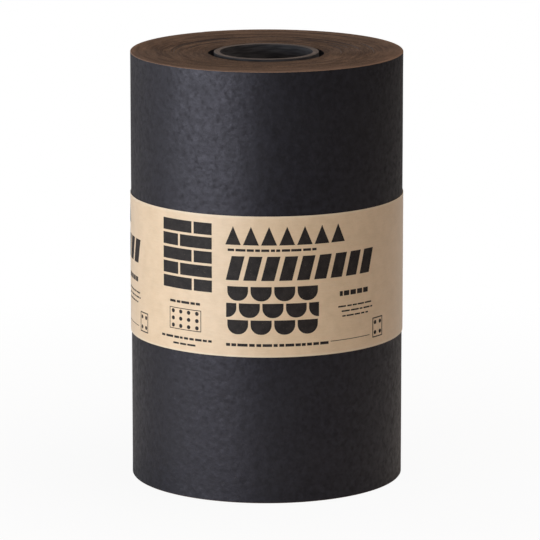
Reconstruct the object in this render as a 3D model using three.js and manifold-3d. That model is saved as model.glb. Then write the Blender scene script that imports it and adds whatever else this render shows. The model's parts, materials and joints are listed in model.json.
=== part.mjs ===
// A roll of roofing felt standing on its end: a long sheet wound on a cardboard tube, with a
// kraft paper band glued round its middle. Millimetres, +Z up the roll's axis, floor at z = 0.
import * as THREE from "three";
import { mergeVertices } from "three/addons/utils/BufferGeometryUtils.js";
import Module from "manifold-3d";

// The felt
const sheetWidth = 457.2; // the height of the roll on its end
const sheetThickness = 1.5;
const rollDiameter = 291; // twice the radius at the sheet's loose end
const looseEndAngle = 118; // degrees from +X, on the far side of the roll

// The tube that the sheet is wound on
const coreBore = 98;
const coreWall = 6.5;
const coreClearance = 0.3; // between the tube and the first turn

// The first turns, which sit a little inside both ends
const innerTurns = 3;
const innerSetback = 12;

// The winding line on the ends: one groove turn stands for several turns of the sheet
const turnsPerGroove = 7;
const grooveWidth = 1.4;
const grooveDepth = 0.9;

// The paper band
const bandWidth = 149;
const bandMiddle = 231.5; // height of the middle of its width
const bandThickness = 0.4;
const bandClearance = 0.3; // between the band and the felt
const bandLap = 32; // where the band's glued end lies on its start
const bandLapAngle = 61; // degrees from +X to the middle of the lap

// Facets
const roundFacets = 72;
const grooveStep = 15; // length of one straight stretch of the winding line

const rollRadius = rollDiameter / 2;
const coreRadius = coreBore / 2 + coreWall;
const woundRadius = coreRadius + coreClearance;
const setbackRadius = woundRadius + innerTurns * sheetThickness;
const fullTurn = 2 * Math.PI;

const wasm = await Module();
wasm.setup();

// A closed three.js geometry as a solid that can be joined and cut
function toSolid(geometry) {
  const bare = geometry.clone().deleteAttribute("normal").deleteAttribute("uv");
  const merged = mergeVertices(bare, 1e-4);
  const mesh = new wasm.Mesh({
    numProp: 3,
    vertProperties: merged.attributes.position.array,
    triVerts: new Uint32Array(merged.index.array),
  });
  return new wasm.Manifold(mesh);
}

// The finished solid as a geometry with flat faces
function toGeometry(solid) {
  const mesh = solid.getMesh();
  const geometry = new THREE.BufferGeometry();
  geometry.setAttribute("position", new THREE.BufferAttribute(mesh.vertProperties, 3));
  geometry.setIndex(new THREE.BufferAttribute(mesh.triVerts, 1));
  const flat = geometry.toNonIndexed();
  flat.computeVertexNormals();
  return flat;
}

// A polar point in the plane of the roll's end
function polar(radius, angle) {
  return new THREE.Vector2(radius * Math.cos(angle), radius * Math.sin(angle));
}

// A turned solid: the profile is a closed loop of [radius, height], with its heights along +Z
function turned(profile) {
  const loop = [...profile, profile[0]].map(([radius, height]) => new THREE.Vector2(radius, height));
  return new THREE.LatheGeometry(loop, roundFacets).rotateX(Math.PI / 2);
}

// A flat outline extruded up from a height
function extruded(shape, height, from = 0) {
  return new THREE.ExtrudeGeometry(shape, { depth: height, bevelEnabled: false }).translate(0, 0, from);
}

// The last turn gains one sheet thickness round the roll, so it ends in a step. The share of
// the turn runs from 0 at the foot of that step to 1 at the loose end on top of it.
function lastTurnCorner(facet) {
  const share = facet / roundFacets;
  const angle = THREE.MathUtils.degToRad(looseEndAngle) + fullTurn * share;
  return polar(rollRadius - sheetThickness * (1 - share), angle);
}

function lastTurnPoint(share) {
  const facet = Math.min(Math.floor(share * roundFacets), roundFacets - 1);
  return lastTurnCorner(facet).lerp(lastTurnCorner(facet + 1), share * roundFacets - facet);
}

// The roll without its end detail: the last turn's outline, bored out to the first turn
function woundBlank() {
  const outline = new THREE.Shape();
  outline.setFromPoints(Array.from({ length: roundFacets + 1 }, (_, facet) => lastTurnCorner(facet)));
  const bore = new THREE.Path();
  bore.setFromPoints(
    Array.from({ length: roundFacets }, (_, facet) => polar(woundRadius, (-fullTurn * facet) / roundFacets)),
  );
  outline.holes.push(bore);
  return extruded(outline, sheetWidth);
}

// The space over the first turns at one end, open to the bore
function setbackCut(floor, mouth) {
  const inside = woundRadius - coreWall / 2;
  const heights = [Math.min(floor, mouth), Math.max(floor, mouth)];
  return turned([
    [inside, heights[0]],
    [setbackRadius, heights[0]],
    [setbackRadius, heights[1]],
    [inside, heights[1]],
  ]);
}

// The winding line: it opens at the foot of the loose end and runs in towards the tube
class WindingLine extends THREE.Curve {
  constructor(height) {
    super();
    this.height = height;
    this.pitch = turnsPerGroove * sheetThickness;
    this.outerRadius = rollRadius - sheetThickness;
    this.runOut = grooveWidth / rollRadius; // angle by which it starts clear of the last turn
    this.turns = (this.outerRadius - setbackRadius - this.pitch / 2) / this.pitch;
    this.arcLengthDivisions = 200 * Math.ceil(this.turns);
  }

  getPoint(share, target = new THREE.Vector3()) {
    const wound = share * this.turns * fullTurn - this.runOut;
    const radius = this.outerRadius - (this.pitch * wound) / fullTurn;
    const { x, y } = polar(radius, THREE.MathUtils.degToRad(looseEndAngle) - wound);
    return target.set(x, y, this.height);
  }
}

// A bar on its corner, swept along the winding line. Its centre lies half a groove depth
// outside the end, so that it leaves a groove of the stated width and depth.
function grooveCut(height) {
  const across = (grooveWidth / 2) * 1.5;
  const down = grooveDepth * 1.5;
  const section = new THREE.Shape();
  section.moveTo(across, 0).lineTo(0, down).lineTo(-across, 0).lineTo(0, -down).closePath();
  const line = new WindingLine(height);
  const steps = Math.ceil(line.getLength() / grooveStep);
  return new THREE.ExtrudeGeometry(section, { steps, extrudePath: line });
}

function feltRoll() {
  const beyond = grooveDepth / 2;
  const cuts = [
    setbackCut(innerSetback, -beyond),
    setbackCut(sheetWidth - innerSetback, sheetWidth + beyond),
    grooveCut(-beyond),
    grooveCut(sheetWidth + beyond),
  ];
  return toGeometry(cuts.reduce((roll, cut) => roll.subtract(toSolid(cut)), toSolid(woundBlank())));
}

function coreTube() {
  return turned([
    [coreBore / 2, 0],
    [coreRadius, 0],
    [coreRadius, sheetWidth],
    [coreBore / 2, sheetWidth],
  ]);
}

// The band follows the last turn, bridges the step at the loose end in one straight stretch,
// and is two papers thick where its end laps its start.
function labelBand() {
  const lapShare = bandLap / (fullTurn * rollRadius);
  const lapMiddle = THREE.MathUtils.euclideanModulo(bandLapAngle - looseEndAngle, 360) / 360;
  const lapStart = lapMiddle - lapShare / 2;
  const lapEnd = lapMiddle + lapShare / 2;
  const corners = Array.from({ length: roundFacets }, (_, facet) => (facet + 1) / roundFacets);
  const proudOf = (share, gap) => {
    const point = lastTurnPoint(share);
    return point.setLength(point.length() + gap);
  };
  const inner = corners.map((share) => proudOf(share, bandClearance));
  const papers = (share) => (share > lapStart && share < lapEnd ? 2 : 1);
  const outer = [
    ...corners.map((share) => [share, papers(share)]),
    [lapStart, 1],
    [lapStart, 2],
    [lapEnd, 2],
    [lapEnd, 1],
  ].sort((a, b) => a[0] - b[0]);
  const outline = new THREE.Shape();
  outline.setFromPoints(outer.map(([share, count]) => proudOf(share, bandClearance + count * bandThickness)));
  const hole = new THREE.Path();
  hole.setFromPoints(inner.reverse());
  outline.holes.push(hole);
  return extruded(outline, bandWidth, bandMiddle - bandWidth / 2);
}

function part(name, geometry, color, roughness) {
  const mesh = new THREE.Mesh(geometry, new THREE.MeshStandardMaterial({ color, roughness, metalness: 0 }));
  mesh.name = name;
  return mesh;
}

const roll = new THREE.Group();
roll.add(part("felt_roll", feltRoll(), 0x38363a, 0.95));
roll.add(part("core_tube", coreTube(), 0x9a8f84, 0.9));
roll.add(part("label_band", labelBand(), 0xc8ab88, 0.85));

export default roll;
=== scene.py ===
import json
import math
import random

import bmesh
import bpy
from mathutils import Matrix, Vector, noise

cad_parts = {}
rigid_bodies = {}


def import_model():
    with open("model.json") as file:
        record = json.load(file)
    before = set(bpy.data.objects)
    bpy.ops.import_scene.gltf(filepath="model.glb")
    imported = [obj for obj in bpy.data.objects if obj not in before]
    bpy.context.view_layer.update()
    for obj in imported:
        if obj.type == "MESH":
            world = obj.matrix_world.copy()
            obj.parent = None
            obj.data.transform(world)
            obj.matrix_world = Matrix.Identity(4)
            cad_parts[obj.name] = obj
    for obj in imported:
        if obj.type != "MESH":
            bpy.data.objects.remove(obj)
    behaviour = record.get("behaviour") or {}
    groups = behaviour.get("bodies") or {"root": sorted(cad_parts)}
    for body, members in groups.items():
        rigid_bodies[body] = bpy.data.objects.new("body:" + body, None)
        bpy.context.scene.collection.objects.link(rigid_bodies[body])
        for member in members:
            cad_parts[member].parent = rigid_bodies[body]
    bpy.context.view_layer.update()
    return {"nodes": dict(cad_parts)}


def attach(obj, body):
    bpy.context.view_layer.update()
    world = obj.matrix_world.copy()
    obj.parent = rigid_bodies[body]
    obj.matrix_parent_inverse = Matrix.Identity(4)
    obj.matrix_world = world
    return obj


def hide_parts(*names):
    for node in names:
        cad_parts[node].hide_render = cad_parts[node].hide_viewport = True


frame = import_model()
mm = 0.001
hair = 0.01 * mm  # a distance too small to see
fullTurn = 2 * math.pi
print("frame loaded:", ", ".join(sorted(frame["nodes"])))


def choose(piece):
    bpy.ops.object.select_all(action="DESELECT")
    piece.select_set(True)
    bpy.context.view_layer.objects.active = piece


# Nothing stays selected from before, and the piece is in edit mode with nothing picked.
def openMesh(piece, kind="VERT"):
    if bpy.context.mode != "OBJECT":
        bpy.ops.object.mode_set(mode="OBJECT")
    choose(piece)
    bpy.ops.object.mode_set(mode="EDIT")
    bpy.ops.mesh.select_mode(type=kind)
    bpy.ops.mesh.select_all(action="DESELECT")


def closeMesh():
    bpy.ops.object.mode_set(mode="OBJECT")


# Picks what passes the test, among the vertices, edges or faces of the piece that is open.
def pick(test):
    piece = bpy.context.edit_object
    mesh = bmesh.from_edit_mesh(piece.data)
    kind = bpy.context.tool_settings.mesh_select_mode
    items = mesh.verts if kind[0] else mesh.edges if kind[1] else mesh.faces
    found = [item for item in items if test(item)]
    bpy.ops.mesh.select_all(action="DESELECT")
    for item in found:
        item.select = True
    mesh.select_flush_mode()
    bmesh.update_edit_mesh(piece.data)
    return len(found)


def middle(item):
    return sum((vert.co for vert in item.verts), Vector()) / len(item.verts)


def fromAxis(place):
    return math.hypot(place.x, place.y)


def applyModifier(piece, kind, **settings):
    bpy.context.view_layer.objects.active = piece
    modifier = piece.modifiers.new(kind.title(), kind)
    for name, value in settings.items():
        setattr(modifier, name, value)
    bpy.ops.object.modifier_apply(modifier=modifier.name)


def applyPlace(piece):
    choose(piece)
    bpy.ops.object.transform_apply(location=True, rotation=True, scale=True)


def faceOutwards(piece):
    openMesh(piece)
    bpy.ops.mesh.select_all(action="SELECT")
    bpy.ops.mesh.normals_make_consistent(inside=False)
    closeMesh()


def smoothUpTo(piece, degrees):
    choose(piece)
    bpy.ops.object.shade_smooth_by_angle(angle=math.radians(degrees))


# Node helpers: each returns the socket that the next step reads.
def newMaterial(name, roughness, specular):
    material = bpy.data.materials.new(name)
    material.use_nodes = True
    shader = material.node_tree.nodes["Principled BSDF"]
    shader.inputs["Roughness"].default_value = roughness
    shader.inputs["Specular IOR Level"].default_value = specular
    return material, material.node_tree, shader


def addNode(tree, kind, inputs=(), **settings):
    node = tree.nodes.new("ShaderNode" + kind)
    for name, value in settings.items():
        setattr(node, name, value)
    for index, value in enumerate(inputs):
        if isinstance(value, bpy.types.NodeSocket):
            tree.links.new(value, node.inputs[index])
        elif value is not None:
            node.inputs[index].default_value = value
    return node


def maths(tree, operation, *values):
    return addNode(tree, "Math", values, operation=operation).outputs[0]


def objectPlace(tree):
    return addNode(tree, "TexCoord").outputs["Object"]


def scaledPlace(tree, place, scale):
    return addNode(tree, "VectorMath", (place, scale), operation="MULTIPLY").outputs[0]


def noiseOf(tree, place, scale, detail=2.0, roughness=0.5):
    node = addNode(tree, "TexNoise")
    tree.links.new(place, node.inputs["Vector"])
    node.inputs["Scale"].default_value = scale
    node.inputs["Detail"].default_value = detail
    node.inputs["Roughness"].default_value = roughness
    return node.outputs["Fac"]


def spread(tree, value, low, high, newLow=0.0, newHigh=1.0):
    node = addNode(tree, "MapRange", (value, low, high, newLow, newHigh), clamp=True)
    return node.outputs["Result"]


def mixColours(tree, amount, first, second, way="MIX"):
    node = addNode(tree, "Mix", data_type="RGBA", blend_type=way, clamp_result=True)
    for name, value in (("Factor_Float", amount), ("A_Color", first), ("B_Color", second)):
        socket = next(entry for entry in node.inputs if entry.identifier == name)
        if isinstance(value, bpy.types.NodeSocket):
            tree.links.new(value, socket)
        else:
            socket.default_value = value if isinstance(value, float) else (*value, 1)
    return next(entry for entry in node.outputs if entry.identifier == "Result_Color")


def raised(tree, height, distance, strength=1.0, under=None):
    node = addNode(tree, "Bump")
    node.inputs["Strength"].default_value = strength
    node.inputs["Distance"].default_value = distance
    tree.links.new(height, node.inputs["Height"])
    if under is not None:
        tree.links.new(under, node.inputs["Normal"])
    return node.outputs["Normal"]


def radiusOf(tree, place):
    flat = scaledPlace(tree, place, (1, 1, 0))
    return addNode(tree, "VectorMath", (flat,), operation="LENGTH").outputs["Value"]


# A place for noise that follows the roll round and has no seam. The three values say how fast
# the noise changes round the roll, away from its axis and up it.
def roundTheRoll(tree, place, alongRound, alongRadius, alongHeight):
    parts = addNode(tree, "SeparateXYZ", (place,)).outputs
    radius = radiusOf(tree, place)
    away = maths(tree, "MULTIPLY", radius, alongRadius)
    rise = maths(tree, "MULTIPLY", parts[2], alongHeight)
    across = maths(tree, "MULTIPLY", maths(tree, "DIVIDE", parts[0], radius), alongRound)
    ahead = maths(tree, "MULTIPLY", maths(tree, "DIVIDE", parts[1], radius), alongRound)
    outwards = maths(tree, "ADD", away, rise)
    return addNode(tree, "CombineXYZ", (across, ahead, outwards)).outputs[0]


# The camera comes first: where it stands, how far it looks down and its lens.
view = {
    "place": (0, -4.6506, 1.1928),
    "down": math.radians(11.82),
    "aside": -0.00082,
    "lens": 296.9,
    "sensor": 36,
}


def setCamera(view):
    bpy.ops.object.camera_add(
        location=view["place"], rotation=(math.pi / 2 - view["down"], 0, view["aside"]))
    camera = bpy.context.object
    camera.name = "camera"
    camera.data.lens = view["lens"]
    camera.data.sensor_width = view["sensor"]
    bpy.context.scene.camera = camera


setCamera(view)
print("camera set")


# A pale floor, a plain pale room and four soft lamps.
studio = {
    "floorSize": 30,
    "floorTone": (0.77, 0.76, 0.755),  # by the roll
    "farTone": (0.51, 0.505, 0.505),
    "toneFade": (0.4, 1.5),  # where the floor's tone starts to fall, and where it has fallen
    "whiteShare": (0.93, 1.0),  # of the floor's look, by the roll and away from it: the rest of
                                # the look takes the roll's shadow
    "whiteFade": (0.2, 0.9),
    "roomTone": (1.0, 0.92, 0.86),
    "roomLight": 0.104,
    "aim": (0, 0, 0.23),  # what the lamps point at
    "lamps": {  # degrees round from the front, degrees up, distance, width, height, watts, colour
        "key": (-51, 5, 3.4, 4.0, 0.85, 109, (0.87, 0.94, 1.0)),
        "side": (-112, 6, 3.4, 2.4, 0.7, 9.5, (0.96, 0.96, 1.0)),
        "top": (80, 73, 3.4, 2.6, 2.6, 63, (1.0, 0.90, 0.80)),
        "back": (-154, 24, 3.4, 2.4, 1.6, 14, (0.96, 0.97, 1.0)),
    },
}


# 1 where the eye looks straight at a surface. Glossy rays are left out: the felt's sheen is the
# reflection of the room, and it would turn grey under a white one.
def seenDirectly(tree):
    rays = addNode(tree, "LightPath").outputs
    return maths(tree, "MAXIMUM", rays["Is Camera Ray"], rays["Is Transmission Ray"])


def setStage(studio):
    bpy.ops.mesh.primitive_plane_add(size=studio["floorSize"])
    floor = bpy.context.object
    floor.name = "floor"
    material, tree, shader = newMaterial("paleFloor", 0.9, 0.1)
    plain = addNode(tree, "Emission")
    plain.inputs["Color"].default_value = (1, 1, 1, 1)
    away = addNode(tree, "VectorMath", (objectPlace(tree),), operation="LENGTH").outputs["Value"]
    tone = mixColours(tree, spread(tree, away, *studio["toneFade"]), studio["floorTone"],
                      studio["farTone"])
    tree.links.new(tone, shader.inputs["Base Color"])
    white = spread(tree, away, *studio["whiteFade"], *studio["whiteShare"])
    share = maths(tree, "MULTIPLY", seenDirectly(tree), white)
    both = addNode(tree, "MixShader", (share, shader.outputs[0], plain.outputs[0]))
    tree.links.new(both.outputs[0], tree.nodes["Material Output"].inputs["Surface"])
    floor.data.materials.append(material)

    world = bpy.data.worlds.new("room")
    bpy.context.scene.world = world
    world.use_nodes = True
    tree = world.node_tree
    tree.nodes.clear()
    light = addNode(tree, "Background", ((*studio["roomTone"], 1), studio["roomLight"]))
    white = addNode(tree, "Background", ((1, 1, 1, 1), 1.0))
    both = addNode(tree, "MixShader", (seenDirectly(tree), light.outputs[0], white.outputs[0]))
    tree.links.new(both.outputs[0], addNode(tree, "OutputWorld").inputs["Surface"])


def hangLamps(studio):
    aim = Vector(studio["aim"])
    for name, (around, rise, away, wide, high, watts, colour) in studio["lamps"].items():
        around, rise = math.radians(around), math.radians(rise)
        toLamp = Vector((math.sin(around) * math.cos(rise), -math.cos(around) * math.cos(rise),
                         math.sin(rise)))
        bpy.ops.object.light_add(type="AREA", location=aim + toLamp * away)
        lamp = bpy.context.object
        lamp.name = name
        lamp.rotation_euler = toLamp.to_track_quat("Z", "Y").to_euler()
        lamp.data.shape = "RECTANGLE"
        lamp.data.size, lamp.data.size_y = wide, high
        lamp.data.energy = watts
        lamp.data.color = colour


setStage(studio)
hangLamps(studio)
print("stage and lamps set")


# The felt: one long sheet wound on the tube. Each turn shows on both ends.
felt = {
    "height": 457.2 * mm,
    "outerRadius": 145.14 * mm,
    "firstRadius": 55.8 * mm,
    "sheet": 1.494 * mm,
    "turns": 58.8,
    "stepsInTurn": 160,
    "looseEnd": math.radians(118),  # from +X, on the far side
    "flatShare": 0.5,  # of a turn's edge, between the rounded corners
    "lineDepth": 0.45 * mm,  # of the line between two turns
    "setbackTurns": 3,
    "setback": 12 * mm,
    "unevenTurn": 0.35 * mm,  # from one turn to the next
    "turnNoise": (0.8, 1.37),  # how fast it changes round the roll and from turn to turn
    "unevenWind": 0.5 * mm,  # over many turns
    "windNoise": (0.6, 0.11),
    "dish": 3.1 * mm,  # the turns sink a little towards the tube
    "rimFall": 0.5 * mm,  # and fall away at the rim
    "rimWide": 9 * mm,
    "rimTurns": 6,  # over these last turns the winding becomes even
    "wallCuts": 23,
    "dents": 0.12 * mm,
    "dentsPerMetre": 9,
}
feltStart = felt["looseEnd"] - fullTurn * felt["turns"]  # where the sheet starts at the tube


# How many turns of sheet lie inside a place on the end, as turns and part of the sheet
def windingOf(place):
    partTurn = ((math.atan2(place.y, place.x) - feltStart) / fullTurn) % 1
    return (fromAxis(place) - felt["firstRadius"]) / felt["sheet"] - partTurn, partTurn


def windFelt(felt):
    sheet, first = felt["sheet"], felt["firstRadius"]
    place = (first * math.cos(feltStart), first * math.sin(feltStart), sheet / 2)
    bpy.ops.mesh.primitive_plane_add(size=sheet, rotation=(0, math.pi / 2, 0), location=place)
    roll = bpy.context.object
    roll.name = "felt_winding"
    applyPlace(roll)

    # one upright line, cut in three: corner, flat and corner of the sheet's edge
    openMesh(roll)
    pick(lambda vert: vert.co.y < place[1])
    bpy.ops.mesh.delete(type="VERT")
    bpy.ops.mesh.select_all(action="SELECT")
    bpy.ops.transform.translate(value=(0, -sheet / 2, 0))
    bpy.ops.mesh.subdivide(number_cuts=2)
    pick(lambda vert: abs(vert.co.z - sheet / 2) < sheet / 3)
    bpy.ops.transform.resize(value=(1, 1, 3 * felt["flatShare"]), center_override=place)
    closeMesh()

    # wound as a screw, opened to a cone and pressed flat, the screw is the sheet's winding
    steps = round(felt["turns"] * felt["stepsInTurn"])
    applyModifier(roll, "SCREW", axis="Z", angle=fullTurn * felt["turns"], steps=steps,
                  render_steps=steps, screw_offset=felt["turns"] * sheet)
    applyModifier(roll, "SIMPLE_DEFORM", deform_method="TAPER", deform_axis="Z",
                  factor=felt["outerRadius"] / first - 1)
    openMesh(roll)
    bpy.ops.mesh.select_all(action="SELECT")
    bpy.ops.mesh.remove_doubles(threshold=2 * hair)
    bpy.ops.transform.resize(value=(1, 1, 0), center_override=(0, 0, 0))
    bpy.ops.transform.translate(value=(0, 0, felt["height"]))

    # the first turns sit lower
    bpy.ops.mesh.select_mode(type="FACE")
    pick(lambda face: windingOf(middle(face))[0] < felt["setbackTurns"])
    bpy.ops.mesh.split()
    bpy.ops.transform.translate(value=(0, 0, -felt["setback"]))
    bpy.ops.mesh.select_mode(type="EDGE")
    low, high = first + 2 * sheet, first + (felt["setbackTurns"] + 2) * sheet
    pick(lambda edge: edge.is_boundary and low < fromAxis(middle(edge)) < high)
    bpy.ops.mesh.bridge_edge_loops()

    # the other end is the same sheet's other edge, so it is the same winding turned over
    bpy.ops.mesh.select_all(action="SELECT")
    bpy.ops.mesh.duplicate()
    bpy.ops.transform.resize(value=(1, 1, -1), center_override=(0, 0, felt["height"] / 2))
    pick(lambda edge: edge.is_boundary and fromAxis(middle(edge)) > first + 3 * sheet)
    bpy.ops.mesh.bridge_edge_loops(number_cuts=felt["wallCuts"], interpolation="LINEAR")
    pick(lambda edge: edge.is_boundary)
    bpy.ops.mesh.bridge_edge_loops()
    closeMesh()
    faceOutwards(roll)
    return roll


# How far a place on an end lies in from that end: uneven turns, the fallen rim, the dish and
# the line at the start of each turn.
def sunkBy(place, felt):
    radius = fromAxis(place)
    wound, partTurn = windingOf(place)
    nearly = 0.02  # of a turn
    startOfTurn = wound - math.floor(wound + nearly) < 2 * nearly
    turnsIn = math.floor(wound - nearly) + partTurn
    way = Vector((math.cos(partTurn * fullTurn), math.sin(partTurn * fullTurn), 0))
    alongTurn, acrossTurns = felt["turnNoise"]
    turnNoise = noise.noise(way * alongTurn + Vector((0, 0, turnsIn * acrossTurns)))
    alongWind, acrossWind = felt["windNoise"]
    windNoise = noise.noise(way * alongWind + Vector((9, 4, turnsIn * acrossWind)))
    uneven = felt["unevenTurn"] * (0.5 + turnNoise) + felt["unevenWind"] * (0.5 + windNoise)
    even = min(1, (felt["outerRadius"] - radius) / (felt["rimTurns"] * felt["sheet"]))
    crest = felt["outerRadius"] - felt["rimWide"]
    toRim = max(0, radius - crest) / felt["rimWide"]
    toTube = max(0, crest - radius) / (crest - felt["firstRadius"])
    sunk = max(0, uneven) * even + felt["rimFall"] * toRim ** 2 + felt["dish"] * toTube
    return sunk + (felt["lineDepth"] if startOfTurn else 0)


# The turns don't lie quite level, the lines between them are sunk and the side is a little dented.
def looseWinding(roll, felt):
    height, sheet = felt["height"], felt["sheet"]
    setLevels = (felt["setback"], height - felt["setback"])
    clearOfSetback = felt["firstRadius"] + (felt["setbackTurns"] - 0.1) * sheet
    for vert in roll.data.vertices:
        radius = fromAxis(vert.co)
        onEnd = any(abs(vert.co.z - level) < hair for level in (0, height))
        onSetback = any(abs(vert.co.z - level) < hair for level in setLevels)
        if onSetback or (onEnd and radius > clearOfSetback):
            sunk = sunkBy(vert.co, felt)
            vert.co.z += sunk if vert.co.z < height / 2 else -sunk
        elif radius > felt["outerRadius"] - 2 * sheet:
            dent = felt["dents"] * (0.5 + noise.noise(vert.co * felt["dentsPerMetre"]))
            vert.co.x *= 1 - dent / radius
            vert.co.y *= 1 - dent / radius


# The sheet's face: black, dimpled and flecked, with a soft sheen. Each scale says how many
# features there are in a metre, here and in the other materials.
feltFace = {
    "sheenTint": (0.96, 0.88, 1, 1),
    "dimples": 118,
    "pits": 205,
    "pebbles": 330,
    "grains": 1100,
    "flecks": 150,
    "clouds": 16,
    "dark": (0.0048, 0.0050, 0.0066),
    "pale": (0.0155, 0.0157, 0.0210),
    # painted shade in the pits
    "pitShade": (0.002, 0.002, 0.003),
    "inClouds": (0.0170, 0.0172, 0.0190),
    "roughness": (0.50, 0.41),  # of the dark flecks and of the pale ones
}


def feltFaceMaterial():
    material, tree, shader = newMaterial("feltFace", feltFace["roughness"][0], 0.4)
    shader.inputs["Specular Tint"].default_value = feltFace["sheenTint"]
    place = objectPlace(tree)
    dimples = noiseOf(tree, place, feltFace["dimples"], 1.5)
    pits = spread(tree, noiseOf(tree, place, feltFace["pits"], 1.0), 0.5, 0.72)
    pebbles = noiseOf(tree, place, feltFace["pebbles"], 2.5, 0.55)
    grains = noiseOf(tree, place, feltFace["grains"], 2.0, 0.6)
    flecks = noiseOf(tree, place, feltFace["flecks"])
    clouds = noiseOf(tree, place, feltFace["clouds"], 3.0, 0.5)
    tone = mixColours(tree, spread(tree, flecks, 0.32, 0.68), feltFace["dark"], feltFace["pale"])
    # the pits are painted darker as their shade, and are made rougher below
    tone = mixColours(tree, maths(tree, "MULTIPLY", pits, 0.6), tone, feltFace["pitShade"])
    tone = mixColours(tree, spread(tree, clouds, 0.35, 0.7, 0.0, 0.35), tone, feltFace["inClouds"])
    tree.links.new(tone, shader.inputs["Base Color"])
    rough = spread(tree, flecks, 0.3, 0.7, *feltFace["roughness"])
    rough = maths(tree, "ADD", rough, maths(tree, "MULTIPLY", pits, 0.12))
    tree.links.new(rough, shader.inputs["Roughness"])
    broad = raised(tree, dimples, 0.45 * mm)
    coarse = raised(tree, pebbles, 0.2 * mm, 0.6, broad)
    tree.links.new(raised(tree, grains, 0.12 * mm, 0.6, coarse), shader.inputs["Normal"])
    return material


# The cut edge: brown and fibrous, with streaks along the winding, painted highlight on the outer
# turns and the rim (the rim partly worn too) and painted shade by the tube. A streak's scales are
# round the roll and away from its axis.
cutEdge = {
    "turnStreaks": (3.0, 640),
    "windStreaks": (1.2, 75),
    "patches": (4.0, 210),
    "fibres": 1500,
    "crumbs": 420,
    "dark": (0.080, 0.046, 0.030),
    "pale": (0.152, 0.094, 0.061),
    "paleTurn": (0.202, 0.127, 0.087),
    "crumbTone": (0.050, 0.030, 0.023),
    "darkPatch": (0.060, 0.036, 0.026),
    "palePatch": (0.300, 0.180, 0.120),
    "fibreTone": (0.024, 0.020, 0.020),
    # painted highlight over the outer turns, and at the rim painted highlight with some wear
    "outerTurnsHighlight": (0.238, 0.148, 0.103),
    "outerWide": 35 * mm,
    "rimHighlightAndWear": (0.31, 0.188, 0.130),
    "rimWide": 6 * mm,
    # painted shade on the inner turns by the tube
    "tubeShade": (0.055, 0.034, 0.026),
    "innerWide": 25 * mm,
}


def cutEdgeMaterial():
    material, tree, shader = newMaterial("feltCutEdge", 0.85, 0.2)
    place = objectPlace(tree)
    radius = radiusOf(tree, place)
    turnStreaks = noiseOf(tree, roundTheRoll(tree, place, *cutEdge["turnStreaks"], 0), 1.0, 1.0)
    windStreaks = noiseOf(tree, roundTheRoll(tree, place, *cutEdge["windStreaks"], 0), 1.0, 2.0)
    patches = noiseOf(tree, roundTheRoll(tree, place, *cutEdge["patches"], 0), 1.0, 2.5, 0.6)
    fibres = noiseOf(tree, place, cutEdge["fibres"], 2.0, 0.65)
    crumbs = noiseOf(tree, place, cutEdge["crumbs"], 2.0, 0.6)
    start, end = felt["firstRadius"], felt["outerRadius"]
    # painted highlight towards the rim, the rim partly wear too; painted shade towards the tube
    outerHighlight = spread(tree, radius, end - cutEdge["outerWide"], end, 0.0, 0.55)
    rimHighlightAndWear = spread(tree, radius, end - cutEdge["rimWide"], end, 0.0, 0.6)
    innerShade = spread(tree, radius, start + cutEdge["innerWide"], start, 0.0, 0.4)
    tone = mixColours(tree, spread(tree, windStreaks, 0.38, 0.62), cutEdge["dark"], cutEdge["pale"])
    for amount, colour in (
            (spread(tree, turnStreaks, 0.35, 0.7, 0.0, 0.6), "paleTurn"),
            (spread(tree, crumbs, 0.48, 0.66, 0.0, 0.6), "crumbTone"),
            (outerHighlight, "outerTurnsHighlight"),
            (spread(tree, patches, 0.50, 0.66, 0.0, 0.4), "darkPatch"),
            (spread(tree, patches, 0.48, 0.32, 0.0, 0.3), "palePatch"),
            (rimHighlightAndWear, "rimHighlightAndWear"),
            (innerShade, "tubeShade"),
            (spread(tree, fibres, 0.5, 0.75, 0.0, 0.6), "fibreTone")):
        tone = mixColours(tree, amount, tone, cutEdge[colour])
    tree.links.new(tone, shader.inputs["Base Color"])
    tree.links.new(raised(tree, fibres, 0.3 * mm, 0.7), shader.inputs["Normal"])
    return material


roll = windFelt(felt)
looseWinding(roll, felt)
roll.data.materials.append(feltFaceMaterial())
roll.data.materials.append(cutEdgeMaterial())
for face in roll.data.polygons:  # what doesn't look straight out or in is a cut edge
    outwards = Vector((face.center.x, face.center.y, 0)).normalized()
    face.material_index = 1 if abs(face.normal.dot(outwards)) < 0.88 else 0
smoothUpTo(roll, 35)
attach(roll, "root")
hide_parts("felt_roll")
print("felt wound:", len(roll.data.polygons), "faces")


# The cardboard tube: a wall of plies, dark inside and out and pale at the cut ends.
tube = {
    "height": 454.0 * mm,  # a little short of the felt at both ends
    "radius": 55.5 * mm,
    "wall": 6.5 * mm,
    "sides": 128,
    "plyFlat": 0.45 * mm,
    "plySlope": 0.18 * mm,
    "plyStep": 0.25 * mm,
    "edgeRound": 0.35 * mm,
    "plyStreaks": (2.0, 1300, 9),  # round the roll, away from its axis and up it
    "fibres": 900,
    "darkPly": (0.10, 0.083, 0.076),
    "palePly": (0.21, 0.175, 0.162),
    "fibreTone": (0.07, 0.06, 0.05),
    "streaks": (60, 60, 500),
    "darkLining": (0.026, 0.025, 0.029),
    "paleLining": (0.060, 0.057, 0.062),
}


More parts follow.
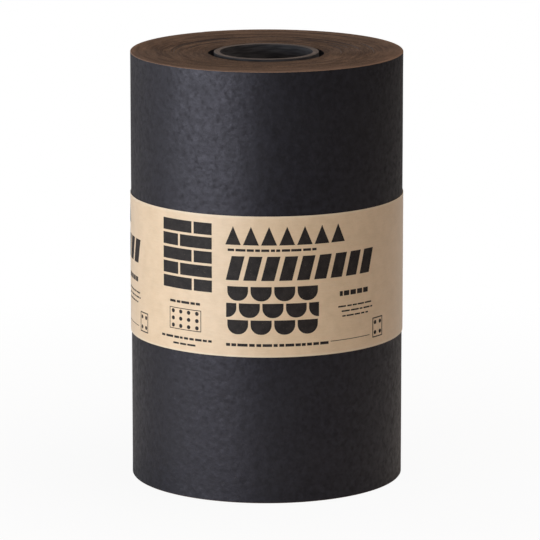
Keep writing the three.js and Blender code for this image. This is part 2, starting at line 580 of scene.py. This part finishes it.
def makeTube(tube):
    bpy.ops.mesh.primitive_cylinder_add(
        vertices=tube["sides"], radius=tube["radius"], depth=tube["height"],
        end_fill_type="NOTHING", location=(0, 0, felt["height"] / 2))
    core = bpy.context.object
    core.name = "core_tube_wall"
    applyPlace(core)
    applyModifier(core, "SOLIDIFY", thickness=tube["wall"], offset=-1, use_even_offset=True)
    faceOutwards(core)
    openMesh(core, "EDGE")
    pick(lambda edge: abs(edge.verts[0].co.z - edge.verts[1].co.z) < mm
         and abs(fromAxis(edge.verts[0].co) - fromAxis(edge.verts[1].co)) < mm)
    bpy.ops.mesh.bevel(offset=tube["edgeRound"], segments=2, affect="EDGES")
    bpy.ops.mesh.select_mode(type="FACE")
    pick(lambda face: abs(face.normal.z) > 0.99)
    for way in (-1, 1, -1):  # the plies sink and stand by turns
        bpy.ops.mesh.inset(thickness=tube["plyFlat"], depth=0)
        bpy.ops.mesh.inset(thickness=tube["plySlope"], depth=tube["plyStep"] * way)
    closeMesh()
    return core


def cardboardMaterial():
    material, tree, shader = newMaterial("tubeCardboard", 0.85, 0.2)
    place = objectPlace(tree)
    plies = noiseOf(tree, roundTheRoll(tree, place, *tube["plyStreaks"]), 1.0, 1.0)
    fibres = noiseOf(tree, place, tube["fibres"], 2.0, 0.6)
    tone = mixColours(tree, spread(tree, plies, 0.35, 0.65), tube["darkPly"], tube["palePly"])
    tone = mixColours(tree, spread(tree, fibres, 0.45, 0.7, 0.0, 0.4), tone, tube["fibreTone"])
    tree.links.new(tone, shader.inputs["Base Color"])
    tree.links.new(raised(tree, fibres, 0.2 * mm, 0.6), shader.inputs["Normal"])
    return material


def liningMaterial():
    material, tree, shader = newMaterial("tubeLining", 0.7, 0.25)
    place = objectPlace(tree)
    streaks = noiseOf(tree, scaledPlace(tree, place, tube["streaks"]), 1.0, 2.0)
    tone = mixColours(tree, spread(tree, streaks, 0.35, 0.65), tube["darkLining"],
                      tube["paleLining"])
    tree.links.new(tone, shader.inputs["Base Color"])
    tree.links.new(raised(tree, streaks, 0.2 * mm, 0.5), shader.inputs["Normal"])
    return material


core = makeTube(tube)
core.data.materials.append(cardboardMaterial())
core.data.materials.append(liningMaterial())
for face in core.data.polygons:  # the lining is on what stands upright
    face.material_index = 1 if abs(face.normal.z) < 0.5 else 0
smoothUpTo(core, 35)
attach(core, "root")
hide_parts("core_tube")
print("tube made:", len(core.data.polygons), "faces")


# The kraft band: a strip that follows the last turn, bridges the loose end and laps its start.
band = {
    "width": 149 * mm,
    "middle": 231.5 * mm,
    "paper": 0.4 * mm,
    "clearance": 0.3 * mm,
    "lap": 32 * mm,
    "lapAngle": math.radians(61),
    "lapGap": 0.08 * mm,
    "lapRamp": math.radians(3),
    "pathPoints": 760,
    "columns": 380,
    "rows": 14,
    "wave": 0.18 * mm,
    "waves": (14, 22),  # how many in a metre, along the band and up it
    "mottle": 70,
    "fibres": 1400,
    "streaks": (14, 0, 900),  # round the roll, away from its axis and up it
    "dark": (0.75, 0.526, 0.318),
    "pale": (0.84, 0.598, 0.378),
    "streakTone": (0.88, 0.69, 0.50),
    "fibreTone": (0.46, 0.33, 0.22),
    # painted highlight along the band's top and bottom edges
    "edge": (0.90, 0.76, 0.57),
    "edgeFade": (3 * mm, 1 * mm),  # how far in from the edge it starts, and where it is full
    "sheen": 0.42,
}
lapHalf = band["lap"] / 2 / felt["outerRadius"]
bandStart = band["lapAngle"] - lapHalf
bandTurn = fullTurn + 2 * lapHalf


# The outside of the last turn under the band, with the straight stretch past the loose end
def underBand(angle):
    past = (angle - felt["looseEnd"]) % fullTurn
    low = felt["outerRadius"] - felt["sheet"] + band["clearance"]
    high = felt["outerRadius"] + band["clearance"]
    span = math.acos(low / high)
    if past < span:
        return low / math.cos(span - past)
    return low + felt["sheet"] * past / fullTurn


def bandPath(band):
    line = bpy.data.curves.new("bandPath", "CURVE")
    line.dimensions = "3D"
    line.twist_mode = "Z_UP"
    spline = line.splines.new("POLY")
    spline.points.add(band["pathPoints"] - 1)
    steps = band["pathPoints"] - 1
    lengths, last = [], None
    for index, point in enumerate(spline.points):
        wound = bandTurn * index / steps
        angle = bandStart + wound
        onLap = min(1, max(0, (wound - fullTurn + band["lapRamp"]) / band["lapRamp"]))
        radius = underBand(angle) + onLap * (band["paper"] + band["lapGap"])
        place = Vector((radius * math.cos(angle), radius * math.sin(angle), 0))
        point.co = (*place, 1)
        lengths.append((lengths[-1] + (place - last).length) if lengths else 0)
        last = place
    path = bpy.data.objects.new("bandPath", line)
    bpy.context.scene.collection.objects.link(path)
    front = (-math.pi / 2 - bandStart) % fullTurn / bandTurn * steps
    return path, lengths[-1], lengths[round(front)]


path, bandLength, frontAlong = bandPath(band)


# Flat work stands in the X-Z plane, X along the band and -Y out of the paper.
def wrapRound(piece):
    applyModifier(piece, "CURVE", object=path, deform_axis="POS_X")


# The paper lies a little unevenly.
def paperLift(place):
    along, up = band["waves"]
    return band["wave"] * (0.5 + noise.noise(Vector((place.x * along, place.z * up, 2.5))))


def makeBand(band):
    bpy.ops.mesh.primitive_grid_add(
        x_subdivisions=band["columns"], y_subdivisions=band["rows"], size=1,
        rotation=(math.pi / 2, 0, 0), location=(bandLength / 2, 0, band["middle"]))
    strip = bpy.context.object
    strip.name = "label_band_paper"
    strip.scale = (bandLength, band["width"], 1)
    applyPlace(strip)
    for vert in strip.data.vertices:
        vert.co.y -= paperLift(vert.co)
    applyModifier(strip, "SOLIDIFY", thickness=band["paper"], offset=1, use_even_offset=True)
    wrapRound(strip)
    faceOutwards(strip)
    return strip


def kraftMaterial():
    material, tree, shader = newMaterial("kraftPaper", 0.5, 1.0)
    shader.inputs["Sheen Weight"].default_value = band["sheen"]
    place = objectPlace(tree)
    mottle = noiseOf(tree, place, band["mottle"], 3.0, 0.6)
    streaks = noiseOf(tree, roundTheRoll(tree, place, *band["streaks"]), 1.0, 2.0)
    fibres = noiseOf(tree, place, band["fibres"], 2.0, 0.65)
    tone = mixColours(tree, spread(tree, mottle, 0.3, 0.7), band["dark"], band["pale"])
    tone = mixColours(tree, spread(tree, streaks, 0.4, 0.7, 0.0, 0.25), tone, band["streakTone"])
    tone = mixColours(tree, spread(tree, fibres, 0.5, 0.75, 0.0, 0.2), tone, band["fibreTone"])
    height = addNode(tree, "SeparateXYZ", (place,)).outputs[2]
    fromMiddle = maths(tree, "ABSOLUTE", maths(tree, "SUBTRACT", height, band["middle"]))
    fadeStart, fadeEnd = (band["width"] / 2 - inset for inset in band["edgeFade"])
    # painted highlight along the band's top and bottom edges
    edgeHighlight = spread(tree, fromMiddle, fadeStart, fadeEnd, 0.0, 0.35)
    tone = mixColours(tree, edgeHighlight, tone, band["edge"])
    tree.links.new(tone, shader.inputs["Base Color"])
    tree.links.new(raised(tree, fibres, 0.08 * mm, 0.5), shader.inputs["Normal"])
    return material


strip = makeBand(band)
strip.data.materials.append(kraftMaterial())
smoothUpTo(strip, 40)
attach(strip, "root")
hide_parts("label_band")
print("band made:", len(strip.data.polygons), "faces")


# The print: plain roof patterns, flat in one panel that repeats. Places are along the band from
# the front and heights from the floor, in millimetres.
printed = {
    "panel": (-126, 146),  # its two ends
    "repeat": 293.0,
    "lastRepeat": 345.0,  # past the front, where the print's two ends come together at the lap
    "columns": 3.0,  # the print is cut this often, so that it bends with the paper
    "trim": 0.2,  # bare paper at the band's two ends
    "ink": 0.05,
    "laps": {"left": -121, "right": -58.5, "low": 223.6, "high": 296.8, "rows": 5, "gap": 2.6,
             "joint": 0.36},  # share of a row on the short side of its joint
    "gables": {"left": -43.6, "right": 85.5, "low": 275.6, "high": 295.2, "count": 7, "gap": 2.2},
    "slats": {"left": -43.2, "right": 119, "low": 238.2, "high": 263.8, "count": 9, "gap": 5.0,
              "lean": 6.5},
    "scales": {"left": -42.8, "right": 55.2, "low": 178.5, "high": 231.8, "rows": 3, "across": 4,
               "gap": 2.6, "rounding": 0.47},  # of its width, at each lower corner
    "board": {"left": -112, "right": -71, "low": 180, "high": 203, "line": 0.8, "nails": (4, 3)},
    "tag": {"left": 125.5, "right": 143, "low": 166.5, "high": 188, "line": 1.2, "nails": (2, 2)},
    "nailRadius": 2.2,
    "dash": (3.5, 11),  # shortest and longest
    "dashGap": (1.0, 1.8),
    "dashes": {  # rows of short dashes: left, right, height, thickness
        "underGables": (-41, 54.4, 270.2, 2.6),
        "sideHead": (64.8, 119.5, 220.2, 5.2),
        "sideFirst": (64.8, 124.9, 206.4, 1.6),
        "sideSecond": (64.8, 124.9, 201.2, 1.6),
        "sideThird": (64.8, 118, 196, 1.6),
        "foot": (-42.9, 66.2, 169.8, 3.0),
        "overBoard": (-111.4, -72.4, 209.6, 2.6),
        "underBoard": (-124, -58.8, 171.4, 2.4),
        "boardFoot": (-107, -78, 165, 2.0),
    },
    "rule": (68.8, 120.6, 170.8, 0.7),
    "seed": 11,
    "patches": 120,
    "specks": 1300,
    "dark": (0.018, 0.014, 0.0135),
    "pale": (0.034, 0.027, 0.025),
    "bare": (0.42, 0.31, 0.21),  # where the ink missed the paper
}


def addBar(left, right, low, high):
    centre = ((left + right) / 2 * mm, 0, (low + high) / 2 * mm)
    bpy.ops.mesh.primitive_plane_add(size=mm, rotation=(math.pi / 2, 0, 0), location=centre)
    bpy.ops.transform.resize(value=(right - left, 1, high - low), center_override=centre)


# The shape just made stands at the first of these places, and is copied to the others.
def copyTo(places):
    for (lastX, lastZ), (x, z) in zip(places, places[1:]):
        bpy.ops.mesh.duplicate()
        bpy.ops.transform.translate(value=((x - lastX) * mm, 0, (z - lastZ) * mm))


def drawLaps(laps):
    rowHigh = (laps["high"] - laps["low"] + laps["gap"]) / laps["rows"]
    for row in range(laps["rows"]):
        low = laps["low"] + row * rowHigh
        share = laps["joint"] if row % 2 else 1 - laps["joint"]
        joint = laps["left"] + (laps["right"] - laps["left"]) * share
        addBar(laps["left"], joint - laps["gap"] / 2, low, low + rowHigh - laps["gap"])
        addBar(joint + laps["gap"] / 2, laps["right"], low, low + rowHigh - laps["gap"])


def drawGables(gables):
    step = (gables["right"] - gables["left"] + gables["gap"]) / gables["count"]
    radius = (gables["high"] - gables["low"]) / 1.5  # of the circle round a triangle
    first = (gables["left"] + (step - gables["gap"]) / 2, gables["low"] + radius / 2)
    centre = (first[0] * mm, 0, first[1] * mm)
    bpy.ops.mesh.primitive_circle_add(vertices=3, radius=radius * mm, fill_type="NGON",
                                      rotation=(math.pi / 2, 0, 0), location=centre)
    bpy.ops.transform.resize(value=((step - gables["gap"]) / (radius * math.sqrt(3)), 1, 1),
                             center_override=centre)
    copyTo([(first[0] + index * step, first[1]) for index in range(gables["count"])])


def drawSlats(slats):
    step = (slats["right"] - slats["left"] + slats["gap"]) / slats["count"]
    addBar(slats["left"], slats["left"] + step - slats["gap"], slats["low"], slats["high"])
    level = (slats["low"] + slats["high"]) / 2 * mm
    pick(lambda vert: vert.select and vert.co.z > level)
    bpy.ops.transform.translate(value=(slats["lean"] * mm, 0, 0))
    bpy.ops.mesh.select_linked()
    copyTo([(index * step, 0) for index in range(slats["count"])])


def drawScales(scales):
    step = (scales["right"] - scales["left"]) / scales["across"]
    rowHigh = (scales["high"] - scales["low"]) / scales["rows"]
    wide, tall = step - scales["gap"], rowHigh - scales["gap"]
    left = scales["left"] + scales["gap"] / 2
    addBar(left, left + wide, scales["high"] - tall, scales["high"])
    pick(lambda vert: vert.select and vert.co.z < (scales["high"] - tall / 2) * mm)
    bpy.ops.mesh.bevel(offset=wide * scales["rounding"] * mm, segments=8, affect="VERTICES")
    bpy.ops.mesh.select_linked()
    copyTo([((index - row % 2 / 2) * step, -row * rowHigh) for row in range(scales["rows"])
            for index in range(scales["across"] + row % 2)])
    bpy.ops.mesh.select_mode(type="FACE")
    for edge, side in (("left", -1), ("right", 1)):  # the odd rows end in half a scale
        pick(lambda face: scales["left"] - step < middle(face).x / mm < scales["right"] + step
             and scales["low"] - 1 < middle(face).z / mm < scales["high"] + 1)
        bpy.ops.mesh.bisect(plane_co=(scales[edge] * mm, 0, 0), plane_no=(side, 0, 0),
                            clear_outer=True)


def drawFrame(box):
    addBar(box["left"], box["right"], box["low"], box["high"])
    bpy.ops.mesh.inset(thickness=box["line"] * mm)
    bpy.ops.mesh.delete(type="FACE")
    across, down = box["nails"]
    places = [(box["left"] + (column + 0.5) * (box["right"] - box["left"]) / across,
               box["low"] + (row + 0.5) * (box["high"] - box["low"]) / down)
              for column in range(across) for row in range(down)]
    bpy.ops.mesh.primitive_circle_add(
        vertices=12, radius=printed["nailRadius"] * mm, fill_type="NGON",
        rotation=(math.pi / 2, 0, 0), location=(places[0][0] * mm, 0, places[0][1] * mm))
    copyTo(places)


def drawDashes(rows):
    draw = random.Random(printed["seed"])
    for left, right, height, thick in rows.values():
        while left < right - 2:
            end = min(right, left + draw.uniform(*printed["dash"]))
            addBar(left, end, height - thick / 2, height + thick / 2)
            left = end + draw.uniform(*printed["dashGap"])


def makePrint(printed):
    bpy.ops.object.add(type="MESH")
    ink = bpy.context.object
    ink.name = "band_print"
    openMesh(ink)
    drawLaps(printed["laps"])
    drawGables(printed["gables"])
    drawSlats(printed["slats"])
    drawDashes(printed["dashes"])
    left, right, height, thick = printed["rule"]
    addBar(left, right, height - thick / 2, height + thick / 2)
    drawFrame(printed["board"])
    drawFrame(printed["tag"])
    drawScales(printed["scales"])

    # one panel is cut in columns, copied along the paper and trimmed to its two ends
    cut, panelEnd = printed["panel"]
    while cut < panelEnd:
        bpy.ops.mesh.select_all(action="SELECT")
        bpy.ops.mesh.bisect(plane_co=(cut * mm, 0, 0), plane_no=(1, 0, 0))
        cut += printed["columns"]
    bpy.ops.mesh.select_all(action="SELECT")
    bpy.ops.transform.translate(value=(frontAlong + printed["lastRepeat"] * mm, 0, 0))
    for step in (printed["lastRepeat"], printed["repeat"], printed["repeat"]):
        bpy.ops.mesh.duplicate()
        bpy.ops.transform.translate(value=(-step * mm, 0, 0))
    trim = printed["trim"] * mm
    for end, side in ((trim, -1), (bandLength - trim, 1)):
        bpy.ops.mesh.select_all(action="SELECT")
        bpy.ops.mesh.bisect(plane_co=(end, 0, 0), plane_no=(side, 0, 0), clear_outer=True)
    closeMesh()
    for vert in ink.data.vertices:
        vert.co.y -= paperLift(vert.co) + band["paper"] - hair
    applyModifier(ink, "SOLIDIFY", thickness=printed["ink"] * mm, offset=1)
    wrapRound(ink)
    faceOutwards(ink)
    return ink


def inkMaterial():
    material, tree, shader = newMaterial("printInk", 0.6, 0.2)
    place = objectPlace(tree)
    patches = noiseOf(tree, place, printed["patches"], 3.0, 0.6)
    specks = noiseOf(tree, place, printed["specks"], 2.0, 0.6)
    tone = mixColours(tree, spread(tree, patches, 0.35, 0.7), printed["dark"], printed["pale"])
    tone = mixColours(tree, spread(tree, specks, 0.66, 0.8, 0.0, 0.6), tone, printed["bare"])
    tree.links.new(tone, shader.inputs["Base Color"])
    tree.links.new(raised(tree, specks, 0.05 * mm, 0.4), shader.inputs["Normal"])
    return material


ink = makePrint(printed)
ink.data.materials.append(inkMaterial())
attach(ink, "root")
bpy.data.objects.remove(path)
print("print made:", len(ink.data.polygons), "faces")

bpy.context.scene.view_settings.view_transform = "Standard"
